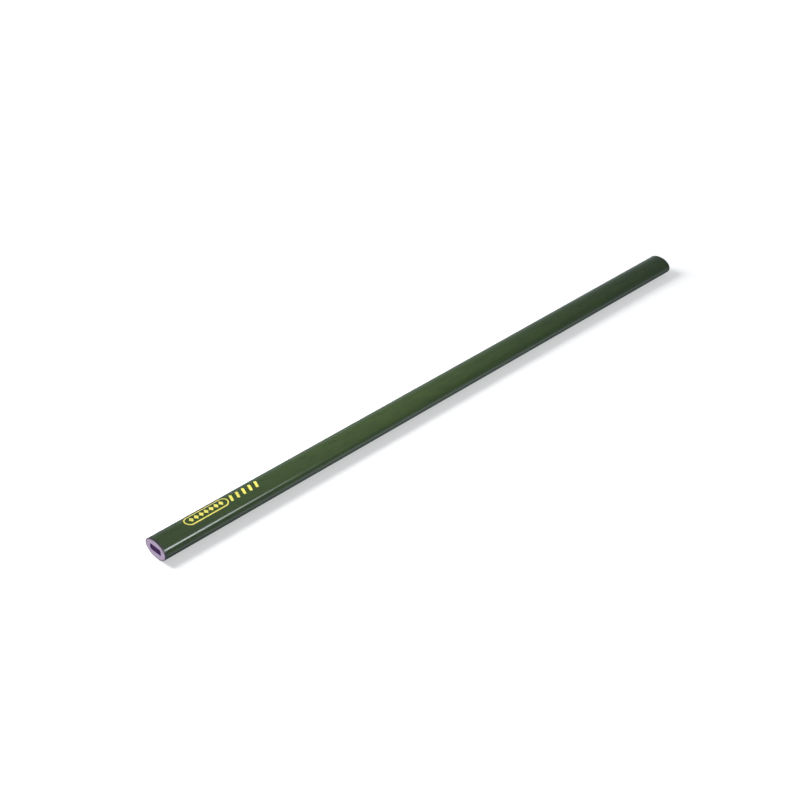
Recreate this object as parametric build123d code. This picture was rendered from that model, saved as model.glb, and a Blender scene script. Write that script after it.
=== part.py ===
"""Oval carpenter's pencil, unsharpened.

Two grooved wooden slats are glued round a flat lead, the bar is planed oval and lacquered, its ends
are sawn square and a foil stamp is pressed on the upper broad side. Frame: +X along the pencil from
the stamped end to the other end, +Y across the broad side, +Z up. The origin is at mid-length on the
surface that the pencil lies on. Millimetres.
"""

import math
import os

from build123d import *

# Driving dimensions
LENGTH = 300.0
WIDTH = 12.0  # over the lacquer, across the broad side
HEIGHT = 8.0  # over the lacquer, across the narrow side
FLAT_WIDTH = 2.0  # of the narrow flat along the middle of each broad side
LACQUER_THICKNESS = 0.15  # all the coats together
GLUE_THICKNESS = 0.12  # between the slats, and round the lead
LEAD_WIDTH = 6.2
LEAD_HEIGHT = 2.6
LEAD_CORNER_RADIUS = 0.45

# Foil stamp, laid out in plan on the upper broad side
FOIL_THICKNESS = 0.05
BORDER_START = 13.8  # from the stamped end to the border
BORDER_LENGTH = 20.0
BORDER_WIDTH = 5.2
BORDER_LINE = 0.5
BORDER_SHIFT = 0.3  # how far the border sits from the middle of the broad side
LOZENGE_COUNT = 7
LOZENGE_PITCH = 2.3
LOZENGE_LENGTH = 1.9
LOZENGE_WIDTH = 2.7
BAR_COUNT = 5
BAR_START = 35.4  # from the stamped end to the middle of the first bar
BAR_PITCH = 3.0
BAR_LENGTH = 3.6
BAR_THICKNESS = 1.1
BAR_CORNER_RADIUS = 0.275
BAR_LEAN = 20.0  # degrees off square to the pencil

# Worked out from those
HALF_LENGTH = LENGTH / 2
WOOD_WIDTH = WIDTH - 2 * LACQUER_THICKNESS
WOOD_HEIGHT = HEIGHT - 2 * LACQUER_THICKNESS
BORE_WIDTH = LEAD_WIDTH + 2 * GLUE_THICKNESS
BORE_HEIGHT = LEAD_HEIGHT + 2 * GLUE_THICKNESS
BORE_CORNER_RADIUS = LEAD_CORNER_RADIUS + GLUE_THICKNESS
SECTION = Plane(origin=(-HALF_LENGTH, 0, HEIGHT / 2), x_dir=(0, 1, 0), z_dir=(1, 0, 0))
STAMP_PLANE = Plane.XY.offset(HEIGHT / 2)


def oval(width, height):
    """The section: an ellipse with its broad sides planed off to the height, centred on the axis."""
    full_height = height / math.sqrt(1 - (FLAT_WIDTH / width) ** 2)
    return Ellipse(width / 2, full_height / 2) & Rectangle(width, height)


def lead_section():
    """The flat lead: a rectangle with small round corners."""
    return RectangleRounded(LEAD_WIDTH, LEAD_HEIGHT, LEAD_CORNER_RADIUS)


def bore_section():
    """The two grooves together, which hold the lead and the glue round it."""
    return RectangleRounded(BORE_WIDTH, BORE_HEIGHT, BORE_CORNER_RADIUS)


def full_length(section):
    """A solid of one section from end to end of the pencil."""
    return extrude(SECTION * section, amount=LENGTH)


def slat(side):
    """One grooved slat: side is 1 above the seam and -1 below it."""
    middle = side * (GLUE_THICKNESS + WIDTH) / 2
    half = Pos(0, middle) * Rectangle(2 * WIDTH, WIDTH)
    return full_length(oval(WOOD_WIDTH, WOOD_HEIGHT) & half - bore_section())


def glue_seam(side):
    """The glue between the slats on one side of the lead: side is -1 for -Y and 1 for +Y."""
    strip = Pos(side * WIDTH / 2, 0) * Rectangle(WIDTH, GLUE_THICKNESS)
    return full_length(oval(WOOD_WIDTH, WOOD_HEIGHT) & strip - bore_section())


def lead_glue():
    """The glue that fills the bore round the lead."""
    return full_length(bore_section() - lead_section())


def lacquer_coat():
    """The lacquer, a closed sleeve on the wood with the end grain left bare."""
    return full_length(oval(WIDTH, HEIGHT) - oval(WOOD_WIDTH, WOOD_HEIGHT))


def foil(outline):
    """Foil in the plan shape of an outline, laid on the curve of the lacquer."""
    sheet = oval(WIDTH + 2 * FOIL_THICKNESS, HEIGHT + 2 * FOIL_THICKNESS) - oval(WIDTH, HEIGHT)
    stamp = extrude(STAMP_PLANE * outline, amount=HEIGHT)
    return full_length(sheet) & stamp


def stamp_border():
    """A plain border with round ends."""
    middle = -HALF_LENGTH + BORDER_START + BORDER_LENGTH / 2
    line = SlotOverall(BORDER_LENGTH, BORDER_WIDTH)
    line -= SlotOverall(BORDER_LENGTH - 2 * BORDER_LINE, BORDER_WIDTH - 2 * BORDER_LINE)
    return foil(Pos(middle, BORDER_SHIFT) * line)


def stamp_lozenges():
    """A row of plain lozenges inside the border."""
    middle = -HALF_LENGTH + BORDER_START + BORDER_LENGTH / 2
    reach = LOZENGE_LENGTH / 2
    half_width = LOZENGE_WIDTH / 2
    lozenge = Polygon((-reach, 0), (0, -half_width), (reach, 0), (0, half_width))
    row = Sketch()
    for place in GridLocations(LOZENGE_PITCH, 0, LOZENGE_COUNT, 1):
        row += Pos(middle, BORDER_SHIFT) * place * lozenge
    return foil(row)


def stamp_bars():
    """A row of plain leaning bars after the border."""
    bar = Rot(0, 0, -BAR_LEAN) * RectangleRounded(BAR_THICKNESS, BAR_LENGTH, BAR_CORNER_RADIUS)
    row = Sketch()
    for number in range(BAR_COUNT):
        row += Pos(-HALF_LENGTH + BAR_START + number * BAR_PITCH, 0) * bar
    return foil(row)


PIECES = {
    "slat_upper": slat(1),
    "slat_lower": slat(-1),
    "lead_core": full_length(lead_section()),
    "lead_glue": lead_glue(),
    "glue_seam_front": glue_seam(-1),
    "glue_seam_back": glue_seam(1),
    "lacquer_coat": lacquer_coat(),
    "stamp_border": stamp_border(),
    "stamp_lozenges": stamp_lozenges(),
    "stamp_bars": stamp_bars(),
}

os.makedirs("parts", exist_ok=True)
for node, piece in PIECES.items():
    export_step(piece, f"parts/{node}.step")
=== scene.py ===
"""An unsharpened oval carpenter's pencil, built piece by piece on its CAD frame.

The bench models are in millimetres. Each is scaled to metres when its piece is finished.
"""

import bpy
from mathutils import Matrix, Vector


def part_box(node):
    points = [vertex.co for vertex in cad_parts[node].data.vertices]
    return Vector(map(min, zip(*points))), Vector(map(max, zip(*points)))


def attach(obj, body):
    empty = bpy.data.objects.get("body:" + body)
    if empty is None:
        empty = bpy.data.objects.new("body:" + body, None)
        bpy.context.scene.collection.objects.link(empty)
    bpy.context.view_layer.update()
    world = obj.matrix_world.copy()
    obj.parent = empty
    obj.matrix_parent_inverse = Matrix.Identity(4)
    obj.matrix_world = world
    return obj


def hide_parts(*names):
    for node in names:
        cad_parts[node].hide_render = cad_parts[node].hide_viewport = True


bl_info = {
    "name": "Oval Carpenter's Pencil",
    "version": (1, 0, 0),
    "blender": (4, 5, 0),
    "location": "3D View > Sidebar > Pencil",
    "description": "Builds an unsharpened oval carpenter's pencil from its separate pieces",
    "category": "Add Mesh",
}

import math

import bmesh
import bpy
from mathutils import Matrix, Vector, noise
from mathutils.bvhtree import BVHTree

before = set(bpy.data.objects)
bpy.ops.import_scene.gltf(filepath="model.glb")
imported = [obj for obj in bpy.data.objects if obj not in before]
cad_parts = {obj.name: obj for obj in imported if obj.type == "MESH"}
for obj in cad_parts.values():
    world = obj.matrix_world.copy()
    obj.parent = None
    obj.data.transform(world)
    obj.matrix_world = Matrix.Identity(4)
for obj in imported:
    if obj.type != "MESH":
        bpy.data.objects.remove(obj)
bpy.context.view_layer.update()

MM = 0.001
PER_METRE = 1000.0


def box_mm(node):
    """The lowest and highest corner of a CAD node, in millimetres."""
    low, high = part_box(node)
    return low * PER_METRE, high * PER_METRE


COAT_LOW, COAT_HIGH = box_mm("lacquer_coat")
WOOD_LOW = box_mm("slat_lower")[0]
WOOD_HIGH = box_mm("slat_upper")[1]
SEAM_LOW, SEAM_HIGH = box_mm("glue_seam_front")
BORE_LOW, BORE_HIGH = box_mm("lead_glue")
LEAD_LOW, LEAD_HIGH = box_mm("lead_core")
AXIS_HEIGHT = (COAT_LOW.z + COAT_HIGH.z) / 2
HALF_LENGTH = (COAT_HIGH.x - COAT_LOW.x) / 2

# Fineness of the meshes
OVAL_POINTS = 128
CASING_POINTS = 64
BORDER_POINTS = 64
LACQUER_CUTS = 99
SLAT_CUTS = 9
BEND_STEP = 0.3
CUT_TOLERANCE = 1e-5
SMOOTH_ANGLE = math.radians(40)

# How the cut ends are finished, in millimetres, and how fine the unevenness is
RIM_SUPPORT = 0.2
LEAD_RIM = 0.05
LEAD_INSETS = (0.15, 0.25, 0.3, 0.3)
CRUMBLE = 0.03
WOOD_GRAIN = 2.2
LEAD_GRAIN = 2.5
GLUE_GRAIN = 3.0

# Middle of the growth rings in each slat, from the pencil's axis
UPPER_PITH = (-5.0, 19.0)
LOWER_PITH = (9.0, -13.0)

# Where the floor's painted glow rises to full and the floor turns evenly white, in millimetres from
# the pencil
SHADOW_WIDTH = 22
SHADOW_LENGTH = 15
WHITE_REACH = 90

# The studio, in metres
FLOOR_SIZE = 20.0
BACKDROP_POINTS = 96
BACKDROP_RADIUS = 8.0
BACKDROP_HEIGHT = 6.0
BACKDROP_GLOW = 1.03
AIM_HEIGHT = 0.004
KEY_PLACE, KEY_AIM = (-0.14, 0.265, 0.245), (0.0, 0.0, 0.0)
TOP_PLACE, TOP_AIM = (-0.17, 0.02, 0.304), (-0.035, 0.0, AIM_HEIGHT)
END_PLACE, END_AIM = (-0.55, -0.08, 0.07), (-0.15, 0.0, 0.0)
FAR_END_PLACE, FAR_END_AIM = (0.55, 0.06, 0.03), (0.15, 0.0, AIM_HEIGHT)
STRIP_PLACE, STRIP_AIM = (-0.024, -0.45, 0.389), (-0.024, 0.0, AIM_HEIGHT)
TOP_SPREAD = math.radians(45)
TOP_SOFTNESS = 0.11
END_LAMP_SIZE = 0.20
STRIP_WIDTH, STRIP_LENGTH = 0.15, 0.48
STRIP_TINT = (0.87, 0.94, 1.0)


# Sizes and colours a user would change


class PencilSection(bpy.types.PropertyGroup):
    """The pencil's section, which every piece shares."""

    flat_width: bpy.props.FloatProperty(
        name="Flat width",
        description="Width of the narrow flat along the middle of each broad side",
        default=0.002,
        unit="LENGTH",
    )
    lead_corner: bpy.props.FloatProperty(
        name="Lead corner radius",
        description="Radius of the corners of the flat lead",
        default=0.00045,
        unit="LENGTH",
    )


class PencilLacquer(bpy.types.PropertyGroup):
    """The green lacquer."""

    thickness: bpy.props.FloatProperty(
        name="Thickness",
        description="Thickness of all the coats together",
        default=0.00015,
        unit="LENGTH",
    )
    rim_radius: bpy.props.FloatProperty(
        name="Rim radius",
        description="Radius that trimming leaves on the cut edge of the lacquer",
        default=0.00006,
        unit="LENGTH",
    )
    light_green: bpy.props.FloatVectorProperty(
        name="Light green",
        description="The lacquer where it is thinnest",
        default=(0.0285, 0.0490, 0.0086),
        subtype="COLOR",
        min=0.0,
        max=1.0,
    )
    deep_green: bpy.props.FloatVectorProperty(
        name="Deep green",
        description="The lacquer where it is thickest",
        default=(0.0210, 0.0368, 0.0072),
        subtype="COLOR",
        min=0.0,
        max=1.0,
    )
    rim_colour: bpy.props.FloatVectorProperty(
        name="Rim colour",
        description="The darkened band of lacquer beside each cut end",
        default=(0.022, 0.021, 0.024),
        subtype="COLOR",
        min=0.0,
        max=1.0,
    )
    rim_band: bpy.props.FloatProperty(
        name="Rim band",
        description="Width of the darkened band beside each cut end",
        default=0.0011,
        unit="LENGTH",
    )
    roughness: bpy.props.FloatProperty(
        name="Roughness",
        description="How much the lacquer spreads a reflection",
        default=0.14,
        subtype="FACTOR",
        min=0.0,
        max=1.0,
    )


class PencilWood(bpy.types.PropertyGroup):
    """The stained wooden slats."""

    early_wood: bpy.props.FloatVectorProperty(
        name="Early wood",
        description="The broad pale bands of the end grain",
        default=(0.63, 0.475, 0.63),
        subtype="COLOR",
        min=0.0,
        max=1.0,
    )
    late_wood: bpy.props.FloatVectorProperty(
        name="Late wood",
        description="The narrow dark lines of the end grain",
        default=(0.44, 0.30, 0.45),
        subtype="COLOR",
        min=0.0,
        max=1.0,
    )
    edge_wood: bpy.props.FloatVectorProperty(
        name="Edge wood",
        description="The outer edge of the end grain, where lacquer has soaked in",
        default=(0.20, 0.15, 0.21),
        subtype="COLOR",
        min=0.0,
        max=1.0,
    )
    ring_spacing: bpy.props.FloatProperty(
        name="Ring spacing",
        description="Distance from one growth ring to the next",
        default=0.0011,
        unit="LENGTH",
    )
    saw_depth: bpy.props.FloatProperty(
        name="Saw depth",
        description="Depth of the unevenness that the saw leaves on the cut end",
        default=0.00003,
        unit="LENGTH",
    )


class PencilLead(bpy.types.PropertyGroup):
    """The flat lead and the glue that holds it."""

    lead_colour: bpy.props.FloatVectorProperty(
        name="Lead colour",
        description="The cut face of the lead",
        default=(0.062, 0.022, 0.092),
        subtype="COLOR",
        min=0.0,
        max=1.0,
    )
    # Lighter colour of the burnished grains: a painted sheen.
    lead_painted_sheen: bpy.props.FloatVectorProperty(
        name="Lead shine",
        description="The burnished grains in the lead",
        default=(0.105, 0.047, 0.145),
        subtype="COLOR",
        min=0.0,
        max=1.0,
    )
    lead_set_back: bpy.props.FloatProperty(
        name="Lead set back",
        description="How far the saw leaves the lead behind the wood",
        default=0.00004,
        unit="LENGTH",
    )
    glue_set_back: bpy.props.FloatProperty(
        name="Glue set back",
        description="How far the glue lies behind the wood",
        default=0.00008,
        unit="LENGTH",
    )
    glue_colour: bpy.props.FloatVectorProperty(
        name="Glue colour",
        description="The dried glue, with the stain in it",
        default=(0.36, 0.24, 0.42),
        subtype="COLOR",
        min=0.0,
        max=1.0,
    )


class PencilFoil(bpy.types.PropertyGroup):
    """The foil stamp."""

    border_line: bpy.props.FloatProperty(
        name="Border line",
        description="Width of the border's line",
        default=0.0005,
        unit="LENGTH",
    )
    bar_thickness: bpy.props.FloatProperty(
        name="Bar thickness",
        description="Width of one leaning bar",
        default=0.0011,
        unit="LENGTH",
    )
    bar_length: bpy.props.FloatProperty(
        name="Bar length",
        description="Length of one leaning bar",
        default=0.0036,
        unit="LENGTH",
    )
    bar_lean: bpy.props.FloatProperty(
        name="Bar lean",
        description="Lean of the bars from square to the pencil",
        default=math.radians(20),
        subtype="ANGLE",
    )
    raised: bpy.props.FloatProperty(
        name="Raised",
        description="Height of the foil's face over the lacquer",
        default=0.00002,
        unit="LENGTH",
    )
    sunk: bpy.props.FloatProperty(
        name="Sunk",
        description="Depth of the foil's back in the lacquer",
        default=0.00003,
        unit="LENGTH",
    )
    colour: bpy.props.FloatVectorProperty(
        name="Foil colour",
        description="The pigment of the foil",
        default=(0.74, 0.64, 0.11),
        subtype="COLOR",
        min=0.0,
        max=1.0,
    )


class PencilStudio(bpy.types.PropertyGroup):
    """The floor, the sky, the lights and the camera."""

    azimuth: bpy.props.FloatProperty(
        name="Camera azimuth",
        description="Where the camera stands round the pencil, from straight in front",
        default=math.radians(-44.643),
        subtype="ANGLE",
    )
    elevation: bpy.props.FloatProperty(
        name="Camera elevation",
        description="How far the camera looks down",
        default=math.radians(34.529),
        subtype="ANGLE",
    )
    distance: bpy.props.FloatProperty(
        name="Camera distance",
        description="From the camera to the point it looks at",
        default=0.5997,
        unit="LENGTH",
    )
    aim: bpy.props.FloatVectorProperty(
        name="Camera aim",
        description="The point that the camera looks at",
        default=(-0.01532, 0.01084, -0.00093),
        subtype="XYZ",
        unit="LENGTH",
    )
    focal_length: bpy.props.FloatProperty(
        name="Focal length",
        description="Focal length of the lens on a 36 mm wide sensor, in millimetres",
        default=63.97,
    )
    sky_strength: bpy.props.FloatProperty(
        name="Sky strength",
        description="Brightness of the studio overhead",
        default=0.47,
    )
    sky_tint: bpy.props.FloatVectorProperty(
        name="Sky tint",
        description="Cool tint of everything the pencil mirrors",
        default=(0.86, 1.0, 1.07),
        subtype="COLOR",
        size=3,
        min=0.0,
        max=2.0,
    )
    front_strength: bpy.props.FloatProperty(
        name="Front strength",
        description="Brightness of the backdrop low down in front",
        default=0.40,
    )
    back_strength: bpy.props.FloatProperty(
        name="Back strength",
        description="Brightness of the backdrop low down behind",
        default=0.50,
    )
    ground_strength: bpy.props.FloatProperty(
        name="Ground strength",
        description="Brightness of the floor before the pencil, as the pencil mirrors it",
        default=1.35,
    )
    under_strength: bpy.props.FloatProperty(
        name="Under strength",
        description="Share of that brightness that is left under the pencil and behind it",
        default=0.2,
    )
    ground_fade: bpy.props.FloatProperty(
        name="Ground fade",
        description="Share of the ground's brightness that is lost off the ends of the pencil",
        default=0.42,
        subtype="FACTOR",
        min=0.0,
        max=1.0,
    )
    far_strength: bpy.props.FloatProperty(
        name="Far strength",
        description="Share of the overhead brightness that is left past the plain end",
        default=0.76,
    )
    key_power: bpy.props.FloatProperty(
        name="Key light power",
        description="Power of the light that throws the shadow on the floor",
        default=8.0,
        unit="POWER",
    )
    key_size: bpy.props.FloatProperty(
        name="Key light size",
        description="Width of that light, which softens the shadow's edge",
        default=0.30,
        unit="LENGTH",
    )
    top_power: bpy.props.FloatProperty(
        name="Top light power",
        description="Power of the soft spot over the stamped half",
        default=10.3,
        unit="POWER",
    )
    end_power: bpy.props.FloatProperty(
        name="End light power",
        description="Power of the soft light on the stamped end",
        default=0.54,
        unit="POWER",
    )
    far_end_power: bpy.props.FloatProperty(
        name="Far end light power",
        description="Power of the soft light on the plain end",
        default=0.5,
        unit="POWER",
    )
    strip_power: bpy.props.FloatProperty(
        name="Strip light power",
        description="Power of the narrow light that draws the bright line",
        default=3.35,
        unit="POWER",
    )
    floor_colour: bpy.props.FloatVectorProperty(
        name="Floor colour",
        description="The pale floor",
        default=(0.25, 0.25, 0.25),
        subtype="COLOR",
        min=0.0,
        max=1.0,
    )
    floor_glow: bpy.props.FloatProperty(
        name="Floor glow",
        description="Light that the floor gives from below, which keeps the shadow pale",
        default=0.53,
    )


# Shader graphs


class Wire:
    """One output of a shader graph, on which sums are written as Python."""

    def __init__(self, graph, socket):
        self.graph = graph
        self.socket = socket

    def __add__(self, other):
        return self.graph.maths("ADD", self, other)

    __radd__ = __add__

    def __sub__(self, other):
        return self.graph.maths("SUBTRACT", self, other)

    def __rsub__(self, other):
        return self.graph.maths("SUBTRACT", other, self)

    def __mul__(self, other):
        return self.graph.maths("MULTIPLY", self, other)

    __rmul__ = __mul__

    def __truediv__(self, other):
        return self.graph.maths("DIVIDE", self, other)

    def __pow__(self, other):
        return self.graph.maths("POWER", self, other)

    def __abs__(self):
        return self.graph.maths("ABSOLUTE", self)


class Graph:
    """The node tree of one material or of the world."""

    def __init__(self, owner):
        owner.use_nodes = True
        self.tree = owner.node_tree
        self.tree.nodes.clear()

    def add(self, kind, settings=None, sockets=None, out=0):
        """A node of that kind: its settings first, then its sockets' values or links."""
        node = self.tree.nodes.new(kind)
        for name, value in (settings or {}).items():
            setattr(node, name, value)
        for key, value in (sockets or {}).items():
            if isinstance(value, Wire):
                self.tree.links.new(value.socket, node.inputs[key])
            else:
                node.inputs[key].default_value = value
        return Wire(self, node.outputs[out]) if len(node.outputs) else None

    def maths(self, operation, *values):
        return self.add("ShaderNodeMath", {"operation": operation}, dict(enumerate(values)))

    def between(self, value, low, high):
        """0 below low, 1 above high and a smooth rise from one to the other."""
        settings = {"interpolation_type": "SMOOTHSTEP"}
        sockets = {"Value": value, "From Min": low, "From Max": high}
        return self.add("ShaderNodeMapRange", settings, sockets)

    def mix(self, share, first, second):
        """Two colours mixed: the first where share is 0, the second where it is 1."""
        settings = {"data_type": "RGBA", "blend_type": "MIX"}
        return self.add("ShaderNodeMix", settings, {0: share, 6: first, 7: second}, out=2)

    def place(self, scale=(1.0, 1.0, 1.0), turn=(0.0, 0.0, 0.0), centre=(0.0, 0.0, 0.0)):
        """The place on the pencil in millimetres from a centre, turned and then stretched."""
        own = self.add("ShaderNodeTexCoord", out="Object")
        middle = Vector((centre[0], centre[1], centre[2] + AXIS_HEIGHT))
        settings = {"operation": "MULTIPLY_ADD"}
        sockets = {0: own, 1: (PER_METRE,) * 3, 2: -middle}
        millimetres = self.add("ShaderNodeVectorMath", settings, sockets)
        sockets = {"Vector": millimetres, "Rotation": turn, "Scale": scale}
        return self.add("ShaderNodeMapping", None, sockets)

    def parts(self, vector):
        """The three parts of a vector."""
        return [self.add("ShaderNodeSeparateXYZ", None, {0: vector}, out=axis) for axis in range(3)]

    def speckle(self, vector, scale, detail=2.0, roughness=0.5):
        """Even cloudy noise from 0 to 1, with so many grains to the unit."""
        sockets = {"Vector": vector, "Scale": scale, "Detail": detail, "Roughness": roughness}
        return self.add("ShaderNodeTexNoise", None, sockets)

    def dots(self, vector, scale):
        """The distance to the nearest of many scattered points."""
        return self.add("ShaderNodeTexVoronoi", None, {"Vector": vector, "Scale": scale})

    def bump(self, height, depth):
        """A surface normal that follows the height, in units of that depth in millimetres."""
        sockets = {"Height": height, "Distance": depth * MM, "Strength": 1.0}
        return self.add("ShaderNodeBump", None, sockets)

    def surface(self, **sockets):
        """The Principled shader and the output that it goes to."""
        named = {name.replace("_", " "): value for name, value in sockets.items()}
        shader = self.add("ShaderNodeBsdfPrincipled", None, named)
        self.add("ShaderNodeOutputMaterial", None, {"Surface": shader})


def opaque(colour):
    return (*colour, 1.0)


def new_material(name):
    material = bpy.data.materials.new(name)
    return material, Graph(material)


# Finishes


def green_lacquer(lacquer):
    """Glossy lacquer, drawn on lengthwise in several coats and trimmed at both ends."""
    material, graph = new_material("green_lacquer")
    place = graph.place()
    along = graph.parts(place)[0]
    cloud = graph.speckle(graph.place(scale=(0.12, 0.6, 0.6)), 1.0, detail=3.0)
    drawn = graph.speckle(graph.place(scale=(0.01, 3.5, 3.5)), 1.0, detail=3.0, roughness=0.6)
    peel = graph.speckle(place, 0.7, detail=1.0)
    grit = 1 - graph.between(graph.dots(place, 0.45), 0.02, 0.07)
    handled = graph.speckle(graph.place(scale=(0.05, 0.4, 0.4)), 1.0, detail=5.0, roughness=0.7)
    band = lacquer.rim_band * PER_METRE
    ragged = abs(along) + graph.speckle(place, 1.8) * band / 2
    rim = graph.between(ragged, HALF_LENGTH - band, HALF_LENGTH)
    tone = graph.between(cloud * 0.6 + drawn * 0.4, 0.3, 0.7)
    green = graph.mix(tone, opaque(lacquer.deep_green), opaque(lacquer.light_green))
    relief = peel + drawn * 0.12 + grit * 2
    graph.surface(
        Base_Color=graph.mix(rim * 0.95, green, opaque(lacquer.rim_colour)),
        Roughness=lacquer.roughness + handled * 0.08 + rim * 0.2,
        IOR=1.5,
        Normal=graph.bump(relief, 0.003),
    )
    return material


def stained_wood(name, wood, pith):
    """Sawn end grain: growth rings round the pith, rays, pores and the marks of the saw."""
    material, graph = new_material(name)
    place = graph.place(scale=(0.08, 1.0, 1.0))
    wander = graph.speckle(place, 0.5, detail=2.0) * 0.8
    _, side, up = graph.parts(graph.place(scale=(0.0, 1.0, 1.0), centre=(0.0, *pith)))
    radius = (side * side + up * up) ** 0.5 + wander
    spacing = wood.ring_spacing * PER_METRE
    ring = graph.maths("FRACT", radius / spacing)
    late = graph.between(ring, 0.45, 0.92) * (1 - graph.between(ring, 0.93, 1.0))
    turned = graph.maths("ARCTAN2", side, up)
    across = graph.add("ShaderNodeCombineXYZ", None, {0: turned * 160.0, 1: radius * 0.7})
    ray = graph.between(graph.speckle(across, 1.0, detail=2.0), 0.58, 0.7)
    pore = 1 - graph.between(graph.dots(place, 5.5), 0.12, 0.3)
    fibre = graph.speckle(place, 14.0, detail=3.0, roughness=0.7)
    blotch = graph.speckle(place, 0.33, detail=2.0)
    saw = graph.speckle(graph.place(scale=(0.0, 0.5, 7.0), turn=(0.5, 0.0, 0.0)), 1.0, detail=3.0)
    shade = late * 0.55 + pore * 0.3 + fibre * 0.35 + blotch * 0.25
    aged = graph.between(shade, 0.2, 1.0)
    stain = graph.mix(aged, opaque(wood.early_wood), opaque(wood.late_wood))
    pale = opaque([min(1.0, part * 1.12) for part in wood.early_wood])
    _, over, above = graph.parts(graph.place())
    outward = ((over / WOOD_HIGH.y) ** 2 + (above / (WOOD_HIGH.z - AXIS_HEIGHT)) ** 2) ** 0.5
    soaked = graph.between(outward + (fibre - 0.5) * 0.08, 0.88, 1.0)
    grain = graph.mix(ray * 0.5, stain, pale)
    relief = saw * 0.5 - pore * 0.8 + late * 0.25 + fibre * 0.4
    graph.surface(
        Base_Color=graph.mix(soaked * 0.8, grain, opaque(wood.edge_wood)),
        Roughness=0.62 + fibre * 0.2,
        Normal=graph.bump(relief, 0.02),
    )
    return material


def sawn_lead(lead):
    """Fired graphite and clay, dragged and burnished by the saw; the burnished grains are smoother
    and get a lighter colour, a painted sheen.
    """
    material, graph = new_material("sawn_lead")
    place = graph.place()
    grain = graph.speckle(place, 9.0, detail=4.0, roughness=0.7)
    flake = 1 - graph.between(graph.dots(place, 8.0), 0.1, 0.28)
    drag = graph.speckle(graph.place(scale=(1.0, 0.6, 9.0), turn=(0.5, 0.0, 0.0)), 1.0, detail=3.0)
    shine = graph.between(drag * 0.6 + grain * 0.4, 0.5, 0.75) * 0.7 + flake * 0.25
    graph.surface(
        # The burnished grains are smoother, and their lighter colour is a painted sheen.
        Base_Color=graph.mix(shine, opaque(lead.lead_colour), opaque(lead.lead_painted_sheen)),
        Roughness=0.6 - shine * 0.2,
        Specular_IOR_Level=0.12,
        Normal=graph.bump(grain * 0.5 + drag * 0.5, 0.012),
    )
    return material


def dried_glue(lead):
    """A thin line of glue, slightly glassy, with stain and dust in it."""
    material, graph = new_material("dried_glue")
    place = graph.place()
    cloud = graph.speckle(place, 3.0, detail=3.0)
    bubble = 1 - graph.between(graph.dots(place, 6.0), 0.1, 0.25)
    dusty = opaque([part * 0.6 for part in lead.glue_colour])
    graph.surface(
        Base_Color=graph.mix(graph.between(cloud, 0.35, 0.65), opaque(lead.glue_colour), dusty),
        Roughness=0.35 + cloud * 0.25,
        Normal=graph.bump(cloud - bubble * 0.7, 0.01),
    )
    return material


def yellow_foil(foil, lacquer):
    """Pigment foil, with pinholes and thin places where the lacquer shows through."""
    material, graph = new_material("yellow_foil")
    place = graph.place()
    thin = graph.speckle(place, 3.2, detail=4.0, roughness=0.65)
    pinhole = 1 - graph.between(graph.dots(place, 4.5), 0.06, 0.14)
    bare = graph.between(thin, 0.66, 0.78) * 0.35 + pinhole * 0.5
    worn = opaque([part * 0.82 for part in foil.colour])
    pigment = graph.mix(graph.between(thin, 0.3, 0.6), worn, opaque(foil.colour))
    graph.surface(
        Base_Color=graph.mix(bare, pigment, opaque(lacquer.light_green)),
        Roughness=0.34 + thin * 0.16,
        Normal=graph.bump(thin * 0.6 - pinhole, 0.008),
    )
    return material


def pale_floor(studio):
    """Matt white board with a faint tooth that glows as painted light: dimly near the pencil, which
    keeps its shadow pale, and fully a little way off, where it is evenly white again.
    """
    material, graph = new_material("pale_floor")
    place = graph.place()
    along, across, _ = graph.parts(place)
    beside = graph.between(abs(across), SHADOW_WIDTH, WHITE_REACH)
    beyond = graph.between(abs(along), HALF_LENGTH + SHADOW_LENGTH, HALF_LENGTH + WHITE_REACH)
    full_glow_share = graph.maths("MAXIMUM", beside, beyond)
    tooth = graph.speckle(place, 0.8, detail=3.0)
    shaded = opaque([part * 0.985 for part in studio.floor_colour])
    graph.surface(
        Base_Color=graph.mix(tooth, opaque(studio.floor_colour), shaded),
        Roughness=0.75 + tooth * 0.1,
        Specular_IOR_Level=0.0,
        # Painted light: the floor's glow is dim near the pencil and full further off.
        Emission_Color=graph.mix(full_glow_share, opaque([studio.floor_glow] * 3), opaque([1.0] * 3)),
        Emission_Strength=1.0,
        Normal=graph.bump(tooth, 0.01),
    )
    return material


# Shapes


def oval_ring(bm, width, height, x, flat_width, points):
    """A ring of edges round the pencil's section, at one place along its length."""
    full_height = height / math.sqrt(1 - (flat_width / width) ** 2)
    stretch = Matrix.Diagonal((full_height / 2, width / 2, 1.0, 1.0))
    stand = Matrix.Translation((x, 0, AXIS_HEIGHT)) @ Matrix.Rotation(math.radians(90), 4, "Y")
    ring = bmesh.ops.create_circle(bm, segments=points, radius=1.0, matrix=stand @ stretch)["verts"]
    for vert in ring:
        off_axis = vert.co.z - AXIS_HEIGHT
        vert.co.z = AXIS_HEIGHT + min(max(off_axis, -height / 2), height / 2)
    bmesh.ops.smooth_vert(bm, verts=ring, factor=0.5, use_axis_y=True, use_axis_z=True)


def rounded_rectangle(bm, low, high, corner, x):
    """A flat face with round corners and CASING_POINTS points, square to the pencil's length."""
    stand = Matrix.Translation((x, (low.y + high.y) / 2, (low.z + high.z) / 2))
    stand = stand @ Matrix.Rotation(math.radians(90), 4, "Y")
    stretch = Matrix.Diagonal((high.z - low.z, high.y - low.y, 1.0, 1.0))
    grid = bmesh.ops.create_grid(bm, x_segments=4, y_segments=10, size=0.5, matrix=stand @ stretch)
    bmesh.ops.bevel(
        bm,
        geom=[vert for vert in grid["verts"] if len(vert.link_edges) == 2],
        offset=corner,
        segments=9,
        affect="VERTICES",
        profile=0.5,
        material=-1,
    )
    bmesh.ops.dissolve_faces(bm, faces=bm.faces[:])


def open_up(bm):
    """Leaves only the edges of every face."""
    bmesh.ops.delete(bm, geom=bm.faces[:], context="FACES_ONLY")


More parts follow.
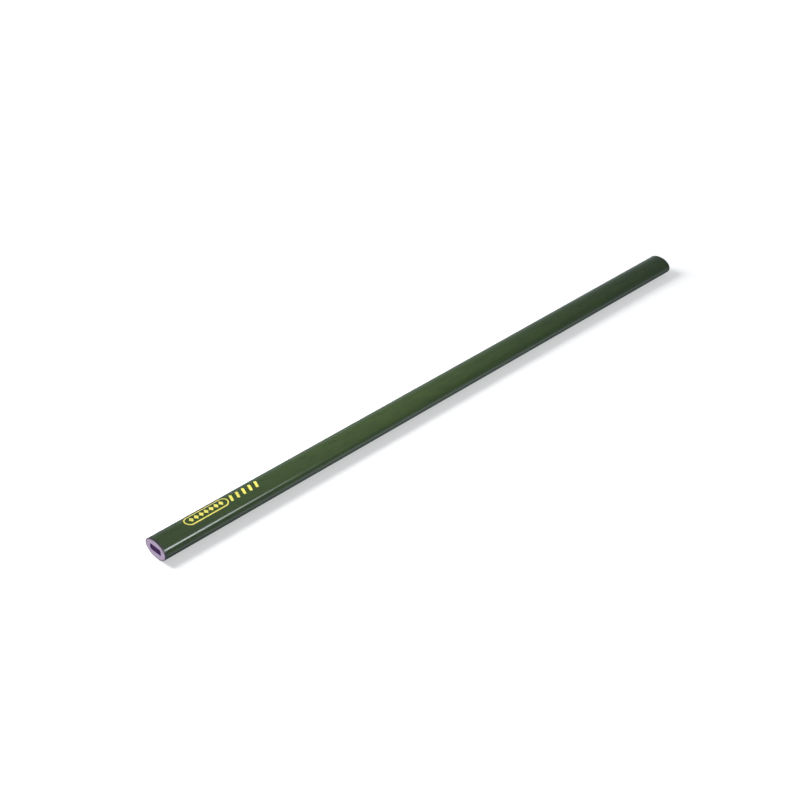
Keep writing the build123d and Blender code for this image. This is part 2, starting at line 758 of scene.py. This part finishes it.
def run_full_length(bm, faces, cuts=0):
    """Draws a section out from one end of the pencil to the other."""
    drawn = bmesh.ops.extrude_face_region(bm, geom=faces, use_keep_orig=True)["geom"]
    verts = [part for part in drawn if isinstance(part, bmesh.types.BMVert)]
    bmesh.ops.translate(bm, verts=verts, vec=(2 * HALF_LENGTH, 0, 0))
    if cuts:
        bmesh.ops.subdivide_edges(bm, edges=lengthwise(bm), cuts=cuts, use_grid_fill=True)


def lengthwise(bm):
    """The edges that run from one end of the pencil to the other."""
    return [edge for edge in bm.edges if abs(edge.verts[0].co.x - edge.verts[1].co.x) > HALF_LENGTH]


def cut_across(bm, x):
    """Adds a ring of edges at one place along the pencil."""
    bmesh.ops.bisect_plane(
        bm,
        geom=bm.verts[:] + bm.edges[:] + bm.faces[:],
        dist=CUT_TOLERANCE,
        plane_co=(x, 0, 0),
        plane_no=(1, 0, 0),
    )


def at_ends(verts):
    """The points on the two cut ends."""
    return [vert for vert in verts if abs(abs(vert.co.x) - HALF_LENGTH) < 0.01]


def set_back(verts, depth, unevenness, grain):
    """Moves points of the cut ends in by a depth, unevenly, as a saw leaves them."""
    for vert in at_ends(verts):
        side = math.copysign(1.0, vert.co.x)
        spot = Vector((side, vert.co.y * grain, vert.co.z * grain))
        vert.co.x -= side * (depth + unevenness * abs(noise.noise(spot)))


def round_rims(bm, radius, segments):
    """Rounds the outer edge of both cut ends."""
    rims = []
    for edge in bm.edges:
        sides = [face for face in edge.link_faces if abs(face.normal.x) < 0.5]
        if len(edge.link_faces) == 2 and len(sides) == 1 and faces_out(sides[0]):
            rims.append(edge)
    bmesh.ops.bevel(
        bm,
        geom=rims,
        offset=radius,
        segments=segments,
        affect="EDGES",
        profile=0.5,
        material=-1,
    )


def faces_out(side):
    """Whether a face along the pencil looks away from its axis."""
    middle = side.calc_center_median()
    return side.normal.dot(Vector((0, middle.y, middle.z - AXIS_HEIGHT))) > 0


def finish_piece(bm, name, material, slot, *nodes):
    """Makes a bench model a piece in metres that stands for its CAD nodes."""
    bmesh.ops.scale(bm, vec=(MM,) * 3, verts=bm.verts)
    bmesh.ops.recalc_face_normals(bm, faces=bm.faces)
    mesh = bpy.data.meshes.new(name)
    bm.to_mesh(mesh)
    bm.free()
    mesh.materials.append(material)
    mesh.shade_smooth()
    mesh.set_sharp_from_angle(angle=SMOOTH_ANGLE)
    piece = bpy.data.objects.new(name, mesh)
    bpy.context.scene.collection.objects.link(piece)
    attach(piece, "root")
    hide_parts(*nodes)
    return piece


# Pieces


def build_lacquer(section, lacquer):
    """The sleeve of lacquer, with its trimmed rims rounded."""
    bm = bmesh.new()
    width = COAT_HIGH.y - COAT_LOW.y
    height = COAT_HIGH.z - COAT_LOW.z
    flat = section.flat_width * PER_METRE
    oval_ring(bm, width, height, COAT_LOW.x, flat, OVAL_POINTS)
    drawn = bmesh.ops.extrude_edge_only(bm, edges=bm.edges[:])["geom"]
    verts = [part for part in drawn if isinstance(part, bmesh.types.BMVert)]
    bmesh.ops.translate(bm, verts=verts, vec=(2 * HALF_LENGTH, 0, 0))
    bmesh.ops.subdivide_edges(bm, edges=lengthwise(bm), cuts=LACQUER_CUTS, use_grid_fill=True)
    bmesh.ops.recalc_face_normals(bm, faces=bm.faces)
    bmesh.ops.solidify(bm, geom=bm.faces[:], thickness=lacquer.thickness * PER_METRE)
    for side in (-1, 1):
        cut_across(bm, side * (HALF_LENGTH - RIM_SUPPORT))
    bmesh.ops.recalc_face_normals(bm, faces=bm.faces)
    round_rims(bm, lacquer.rim_radius * PER_METRE, 3)
    material = green_lacquer(lacquer)
    return finish_piece(bm, "lacquer_skin", material, "green_lacquer", "lacquer_coat")


def casing_section(bm, section):
    """The wood's section at the stamped end: rings of faces from the bore out to the lacquer."""
    width = WOOD_HIGH.y - WOOD_LOW.y
    height = WOOD_HIGH.z - WOOD_LOW.z
    flat = section.flat_width * PER_METRE
    oval_ring(bm, width, height, WOOD_LOW.x, flat, CASING_POINTS)
    film = (BORE_HIGH.y - BORE_LOW.y - LEAD_HIGH.y + LEAD_LOW.y) / 2
    corner = section.lead_corner * PER_METRE + film
    rounded_rectangle(bm, BORE_LOW, BORE_HIGH, corner, WOOD_LOW.x)
    open_up(bm)
    bmesh.ops.bridge_loops(bm, edges=bm.edges[:])
    rungs = [edge for edge in bm.edges if len(edge.link_faces) == 2]
    bmesh.ops.subdivide_edges(bm, edges=rungs, cuts=8, use_grid_fill=True)


def cut_level(bm, height, keep_above):
    """Cuts a section along a level line and keeps what is above it, or below it."""
    bmesh.ops.bisect_plane(
        bm,
        geom=bm.verts[:] + bm.edges[:] + bm.faces[:],
        dist=CUT_TOLERANCE,
        plane_co=(0, 0, height),
        plane_no=(0, 0, 1),
        clear_inner=keep_above,
        clear_outer=not keep_above,
    )


def build_slat(section, wood, name, node, seam, keep_above, pith):
    """One grooved slat, with its cut ends left as the saw left them."""
    bm = bmesh.new()
    casing_section(bm, section)
    cut_level(bm, seam, keep_above)
    run_full_length(bm, bm.faces[:], cuts=SLAT_CUTS)
    set_back(bm.verts, 0.0, wood.saw_depth * PER_METRE, WOOD_GRAIN)
    material = stained_wood(name, wood, pith)
    return finish_piece(bm, name, material, "slat_wood", node)


def build_seam(section, lead, name, node, side, material):
    """The line of glue between the slats, on one side of the lead."""
    bm = bmesh.new()
    casing_section(bm, section)
    cut_level(bm, SEAM_LOW.z, True)
    cut_level(bm, SEAM_HIGH.z, False)
    other = [vert for vert in bm.verts if vert.co.y * side < 0]
    bmesh.ops.delete(bm, geom=other, context="VERTS")
    run_full_length(bm, bm.faces[:])
    set_back(bm.verts, lead.glue_set_back * PER_METRE, 0.0, 1.0)
    return finish_piece(bm, name, material, "glue", node)


def build_lead_glue(section, lead, material):
    """The glue that fills the bore round the lead."""
    bm = bmesh.new()
    film = (BORE_HIGH.y - BORE_LOW.y - LEAD_HIGH.y + LEAD_LOW.y) / 2
    corner = section.lead_corner * PER_METRE
    rounded_rectangle(bm, BORE_LOW, BORE_HIGH, corner + film, BORE_LOW.x)
    open_up(bm)
    rounded_rectangle(bm, LEAD_LOW, LEAD_HIGH, corner, LEAD_LOW.x)
    open_up(bm)
    bmesh.ops.bridge_loops(bm, edges=bm.edges[:])
    run_full_length(bm, bm.faces[:])
    set_back(bm.verts, lead.glue_set_back * PER_METRE, CRUMBLE, GLUE_GRAIN)
    return finish_piece(bm, "glue_round_lead", material, "glue", "lead_glue")


def build_lead(section, lead):
    """The flat lead, a little behind the wood, with its sawn edges crumbled round."""
    bm = bmesh.new()
    rounded_rectangle(bm, LEAD_LOW, LEAD_HIGH, section.lead_corner * PER_METRE, LEAD_LOW.x)
    run_full_length(bm, bm.faces[:])
    bmesh.ops.recalc_face_normals(bm, faces=bm.faces)
    round_rims(bm, LEAD_RIM, 2)
    for thickness in LEAD_INSETS:
        ends = [face for face in bm.faces if abs(face.normal.x) > 0.99]
        bmesh.ops.inset_region(bm, faces=ends, thickness=thickness, use_even_offset=True)
    set_back(bm.verts, lead.lead_set_back * PER_METRE, CRUMBLE, LEAD_GRAIN)
    return finish_piece(bm, "lead_bar", sawn_lead(lead), "lead", "lead_core")


# Foil marks


def islands(node):
    """The lowest and highest corner of each separate solid of a CAD node, from -X to +X."""
    bm = bmesh.new()
    bm.from_mesh(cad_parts[node].data)
    bmesh.ops.remove_doubles(bm, verts=bm.verts, dist=1e-7)
    left = set(bm.verts)
    boxes = []
    while left:
        reached = [left.pop()]
        for vert in reached:
            near = {edge.other_vert(vert) for edge in vert.link_edges} & left
            left -= near
            reached.extend(near)
        low = Vector([min(vert.co[axis] for vert in reached) for axis in range(3)])
        high = Vector([max(vert.co[axis] for vert in reached) for axis in range(3)])
        boxes.append((low * PER_METRE, high * PER_METRE))
    bm.free()
    return sorted(boxes, key=lambda pair: pair[0].x)


def slice_for_bend(bm, step):
    """Cuts flat marks into strips along the pencil, so that they can follow its curve."""
    low = min(vert.co.y for vert in bm.verts)
    high = max(vert.co.y for vert in bm.verts)
    count = math.ceil((high - low) / step)
    for number in range(1, count):
        bmesh.ops.bisect_plane(
            bm,
            geom=bm.verts[:] + bm.edges[:] + bm.faces[:],
            dist=CUT_TOLERANCE,
            plane_co=(0, low + (high - low) * number / count, 0),
            plane_no=(0, 1, 0),
        )


def press_on(bm, foil):
    """Gives flat marks their thickness and presses them on the lacquer, whatever its curve is."""
    skin_piece = bpy.data.objects.get("lacquer_skin")
    if skin_piece is None:
        raise RuntimeError("the foil needs the lacquer under it: build the lacquer first")
    skin = BVHTree.FromObject(skin_piece, bpy.context.evaluated_depsgraph_get())
    slice_for_bend(bm, BEND_STEP)
    raised = foil.raised * PER_METRE
    sunk = foil.sunk * PER_METRE
    bottom = bm.verts[:]
    drawn = bmesh.ops.extrude_face_region(bm, geom=bm.faces[:], use_keep_orig=True)["geom"]
    top = [part for part in drawn if isinstance(part, bmesh.types.BMVert)]
    for verts, lift in ((bottom, -sunk), (top, raised)):
        for vert in verts:
            above = Vector((vert.co.x, vert.co.y, 2 * COAT_HIGH.z)) * MM
            spot, normal, _, _ = skin.ray_cast(above, Vector((0, 0, -1)))
            if spot is None:
                raise RuntimeError("a foil mark reaches past the lacquer")
            vert.co = spot * PER_METRE + normal * lift


def build_border(foil, material):
    """The border: a line with round ends."""
    low, high = box_mm("stamp_border")
    bm = bmesh.new()
    half_step = Matrix.Rotation(math.pi / BORDER_POINTS, 4, "Z")
    width = high.y - low.y
    ring = bmesh.ops.create_circle(
        bm, cap_ends=True, segments=BORDER_POINTS, radius=width / 2, matrix=half_step
    )
    stretch = (high.x - low.x - width) / 2
    for vert in ring["verts"]:
        vert.co.x += math.copysign(stretch, vert.co.x)
    middle = bm.faces[:]
    line = foil.border_line * PER_METRE
    bmesh.ops.inset_region(
        bm, faces=middle, thickness=line, use_boundary=True, use_even_offset=True
    )
    bmesh.ops.delete(bm, geom=middle, context="FACES_ONLY")
    bmesh.ops.translate(bm, verts=bm.verts, vec=((low.x + high.x) / 2, (low.y + high.y) / 2, 0))
    press_on(bm, foil)
    return finish_piece(bm, "foil_border", material, "yellow_foil", "stamp_border")


def build_lozenges(foil, material):
    """The row of lozenges inside the border."""
    bm = bmesh.new()
    diagonal = math.sqrt(2)
    for low, high in islands("stamp_lozenges"):
        middle = Matrix.Translation(((low.x + high.x) / 2, (low.y + high.y) / 2, 0))
        sides = (high - low) / diagonal
        stretch = Matrix.Diagonal((sides.x, sides.y, 1.0, 1.0))
        turn = Matrix.Rotation(math.radians(45), 4, "Z")
        place = middle @ stretch @ turn
        bmesh.ops.create_grid(bm, x_segments=1, y_segments=1, size=0.5, matrix=place)
    press_on(bm, foil)
    return finish_piece(bm, "foil_lozenges", material, "yellow_foil", "stamp_lozenges")


def build_bars(foil, material):
    """The row of leaning bars after the border."""
    bm = bmesh.new()
    thickness = foil.bar_thickness * PER_METRE
    length = foil.bar_length * PER_METRE
    for low, high in islands("stamp_bars"):
        middle = Matrix.Translation(((low.x + high.x) / 2, (low.y + high.y) / 2, 0))
        turn = Matrix.Rotation(-foil.bar_lean, 4, "Z")
        stretch = Matrix.Diagonal((thickness, length, 1.0, 1.0))
        place = middle @ turn @ stretch
        bar = bmesh.ops.create_grid(bm, x_segments=1, y_segments=1, size=0.5, matrix=place)
        bmesh.ops.bevel(
            bm,
            geom=bar["verts"],
            offset=thickness / 4,
            segments=4,
            affect="VERTICES",
            profile=0.5,
            material=-1,
        )
    press_on(bm, foil)
    return finish_piece(bm, "foil_bars", material, "yellow_foil", "stamp_bars")


# Studio


def build_floor(studio):
    """A wide pale floor that the pencil lies on. The pencil mirrors the sky's ground instead."""
    bm = bmesh.new()
    bmesh.ops.create_grid(bm, x_segments=8, y_segments=8, size=FLOOR_SIZE)
    mesh = bpy.data.meshes.new("floor")
    bm.to_mesh(mesh)
    bm.free()
    mesh.materials.append(pale_floor(studio))
    floor = bpy.data.objects.new("floor", mesh)
    floor.visible_diffuse = False
    floor.visible_glossy = False
    bpy.context.scene.collection.objects.link(floor)
    return floor


def build_backdrop():
    """A white wall round the floor, which only the camera sees."""
    bm = bmesh.new()
    bmesh.ops.create_circle(bm, segments=BACKDROP_POINTS, radius=BACKDROP_RADIUS)
    drawn = bmesh.ops.extrude_edge_only(bm, edges=bm.edges[:])["geom"]
    verts = [part for part in drawn if isinstance(part, bmesh.types.BMVert)]
    bmesh.ops.translate(bm, verts=verts, vec=(0, 0, BACKDROP_HEIGHT))
    mesh = bpy.data.meshes.new("backdrop")
    bm.to_mesh(mesh)
    bm.free()
    material, graph = new_material("white_backdrop")
    cloth = graph.speckle(graph.place(), 0.002, detail=2.0)
    white = graph.mix(cloth, (1.0, 1.0, 1.0, 1.0), (0.98, 0.98, 0.98, 1.0))
    graph.surface(
        Base_Color=(0.0, 0.0, 0.0, 1.0),
        Emission_Color=white,
        Emission_Strength=BACKDROP_GLOW,
    )
    mesh.materials.append(material)
    backdrop = bpy.data.objects.new("backdrop", mesh)
    for kind in ("diffuse", "glossy", "transmission", "shadow"):
        setattr(backdrop, "visible_" + kind, False)
    bpy.context.scene.collection.objects.link(backdrop)


def light_sky(studio):
    """What the pencil mirrors: a ground, a dimmer backdrop and a soft ceiling.

    The ceiling fades past the plain end, and the ground fades off both ends.
    """
    world = bpy.data.worlds.new("studio")
    bpy.context.scene.world = world
    graph = Graph(world)
    along, across, up = graph.parts(graph.add("ShaderNodeTexCoord", out="Generated"))
    fading = 1 - graph.between(along, 0.35, 0.80) * (1 - studio.far_strength)
    ceiling = (graph.between(up, 0.60, 0.90) * 0.5 + 0.9) * fading * studio.sky_strength
    backdrop = studio.front_strength + graph.between(across, -0.6, 0.6) * (
        studio.back_strength - studio.front_strength
    )
    bright = backdrop + graph.between(up, 0.15, 0.45) * (ceiling - backdrop)
    under = graph.between(across, -0.75, -0.15) * (1 - studio.under_strength)
    off_ends = graph.between(along, 0.60, 0.78) + (1 - graph.between(along, 0.38, 0.52)) * 0.75
    ground = (1 - under) * (1 - off_ends * studio.ground_fade) * studio.ground_strength
    bright = bright + graph.between(0 - up, 0.02, 0.28) * (ground - backdrop)
    background = graph.add(
        "ShaderNodeBackground", None, {"Color": opaque(studio.sky_tint), "Strength": bright}
    )
    graph.add("ShaderNodeOutputWorld", None, {"Surface": background})


def add_light(name, kind, place, aim, **settings):
    """A lamp at a place, turned to what it lights and hidden from the camera itself."""
    data = bpy.data.lights.new(name, kind)
    for setting, value in settings.items():
        setattr(data, setting, value)
    lamp = bpy.data.objects.new(name, data)
    lamp.location = place
    lamp.rotation_mode = "QUATERNION"
    lamp.rotation_quaternion = (Vector(aim) - Vector(place)).to_track_quat("-Z", "X")
    lamp.visible_camera = False
    bpy.context.scene.collection.objects.link(lamp)
    return lamp


def split_light(lamp, floor, on_floor):
    """Makes a lamp light the floor alone, or everything except the floor."""
    lit = bpy.data.collections.new("lit by " + lamp.name)
    lit.objects.link(floor)
    lit.collection_objects[0].light_linking.link_state = "INCLUDE" if on_floor else "EXCLUDE"
    lamp.light_linking.receiver_collection = lit


def light_pencil(studio, floor):
    """The lamps: one for the floor and its shadow, and four for the pencil."""
    key = add_light(
        "key",
        "AREA",
        KEY_PLACE,
        KEY_AIM,
        energy=studio.key_power,
        shape="DISK",
        size=studio.key_size,
    )
    top = add_light(
        "top",
        "SPOT",
        TOP_PLACE,
        TOP_AIM,
        energy=studio.top_power,
        spot_size=TOP_SPREAD,
        spot_blend=1.0,
        shadow_soft_size=TOP_SOFTNESS,
    )
    end = add_light(
        "end",
        "AREA",
        END_PLACE,
        END_AIM,
        energy=studio.end_power,
        shape="RECTANGLE",
        size=END_LAMP_SIZE,
        size_y=END_LAMP_SIZE,
    )
    far_end = add_light(
        "far end",
        "AREA",
        FAR_END_PLACE,
        FAR_END_AIM,
        energy=studio.far_end_power,
        shape="RECTANGLE",
        size=END_LAMP_SIZE,
        size_y=END_LAMP_SIZE,
    )
    strip = add_light(
        "strip",
        "AREA",
        STRIP_PLACE,
        STRIP_AIM,
        color=STRIP_TINT,
        energy=studio.strip_power,
        shape="ELLIPSE",
        size=STRIP_WIDTH,
        size_y=STRIP_LENGTH,
    )
    end.visible_glossy = False
    far_end.visible_glossy = False
    strip.visible_diffuse = False
    split_light(key, floor, True)
    for lamp in (top, end, far_end, strip):
        split_light(lamp, floor, False)


def place_camera(studio):
    """The camera, level and without any shift."""
    data = bpy.data.cameras.new("camera")
    data.lens = studio.focal_length
    data.sensor_width = 36.0
    data.clip_start = 0.01
    data.clip_end = 100.0
    camera = bpy.data.objects.new("camera", data)
    turn = Matrix.Rotation(studio.azimuth, 3, "Z") @ Matrix.Rotation(-studio.elevation, 3, "X")
    back = turn @ Vector((0, -1, 0))
    camera.location = Vector(studio.aim) + back * studio.distance
    camera.rotation_mode = "QUATERNION"
    camera.rotation_quaternion = (-back).to_track_quat("-Z", "Y")
    bpy.context.scene.collection.objects.link(camera)
    bpy.context.scene.camera = camera


# Operators


class PENCIL_OT_lacquer(bpy.types.Operator):
    """Build the sleeve of green lacquer"""

    bl_idname = "pencil.lacquer"
    bl_label = "Lacquer"

    def execute(self, context):
        build_lacquer(context.scene.pencil_section, context.scene.pencil_lacquer)
        return {"FINISHED"}


class PENCIL_OT_slats(bpy.types.Operator):
    """Build the two grooved wooden slats"""

    bl_idname = "pencil.slats"
    bl_label = "Slats"

    def execute(self, context):
        section = context.scene.pencil_section
        wood = context.scene.pencil_wood
        build_slat(section, wood, "upper_slat", "slat_upper", SEAM_HIGH.z, True, UPPER_PITH)
        build_slat(section, wood, "lower_slat", "slat_lower", SEAM_LOW.z, False, LOWER_PITH)
        return {"FINISHED"}


class PENCIL_OT_lead(bpy.types.Operator):
    """Build the flat lead"""

    bl_idname = "pencil.lead"
    bl_label = "Lead"

    def execute(self, context):
        build_lead(context.scene.pencil_section, context.scene.pencil_lead)
        return {"FINISHED"}


class PENCIL_OT_glue(bpy.types.Operator):
    """Build the glue between the slats and round the lead"""

    bl_idname = "pencil.glue"
    bl_label = "Glue"

    def execute(self, context):
        section = context.scene.pencil_section
        lead = context.scene.pencil_lead
        material = dried_glue(lead)
        build_seam(section, lead, "front_glue_line", "glue_seam_front", -1, material)
        build_seam(section, lead, "back_glue_line", "glue_seam_back", 1, material)
        build_lead_glue(section, lead, material)
        return {"FINISHED"}


class PENCIL_OT_foil(bpy.types.Operator):
    """Press the plain foil marks on the lacquer"""

    bl_idname = "pencil.foil"
    bl_label = "Foil marks"

    def execute(self, context):
        foil = context.scene.pencil_foil
        material = yellow_foil(foil, context.scene.pencil_lacquer)
        build_border(foil, material)
        build_lozenges(foil, material)
        build_bars(foil, material)
        return {"FINISHED"}


class PENCIL_OT_studio(bpy.types.Operator):
    """Set up the floor, the backdrop, the sky, the lights and the camera"""

    bl_idname = "pencil.studio"
    bl_label = "Studio"

    def execute(self, context):
        studio = context.scene.pencil_studio
        context.scene.view_settings.view_transform = "Standard"
        floor = build_floor(studio)
        build_backdrop()
        light_sky(studio)
        light_pencil(studio, floor)
        place_camera(studio)
        return {"FINISHED"}


class PENCIL_PT_pieces(bpy.types.Panel):
    """The pencil's pieces, in the order they are built"""

    bl_label = "Carpenter's pencil"
    bl_idname = "PENCIL_PT_pieces"
    bl_space_type = "VIEW_3D"
    bl_region_type = "UI"
    bl_category = "Pencil"

    def draw(self, context):
        for operator in OPERATORS:
            self.layout.operator(operator.bl_idname)


OPERATORS = (
    PENCIL_OT_lacquer,
    PENCIL_OT_slats,
    PENCIL_OT_lead,
    PENCIL_OT_glue,
    PENCIL_OT_foil,
    PENCIL_OT_studio,
)
SETTINGS = {
    "pencil_section": PencilSection,
    "pencil_lacquer": PencilLacquer,
    "pencil_wood": PencilWood,
    "pencil_lead": PencilLead,
    "pencil_foil": PencilFoil,
    "pencil_studio": PencilStudio,
}


def register():
    for kind in (*SETTINGS.values(), *OPERATORS, PENCIL_PT_pieces):
        bpy.utils.register_class(kind)
    for name, kind in SETTINGS.items():
        setattr(bpy.types.Scene, name, bpy.props.PointerProperty(type=kind))


def unregister():
    for name in SETTINGS:
        delattr(bpy.types.Scene, name)
    for kind in (PENCIL_PT_pieces, *OPERATORS, *SETTINGS.values()):
        bpy.utils.unregister_class(kind)


def main():
    """Builds every piece and the studio."""
    register()
    bpy.ops.pencil.lacquer()
    bpy.ops.pencil.slats()
    bpy.ops.pencil.lead()
    bpy.ops.pencil.glue()
    bpy.ops.pencil.foil()
    bpy.ops.pencil.studio()


if __name__ == "__main__":
    main()
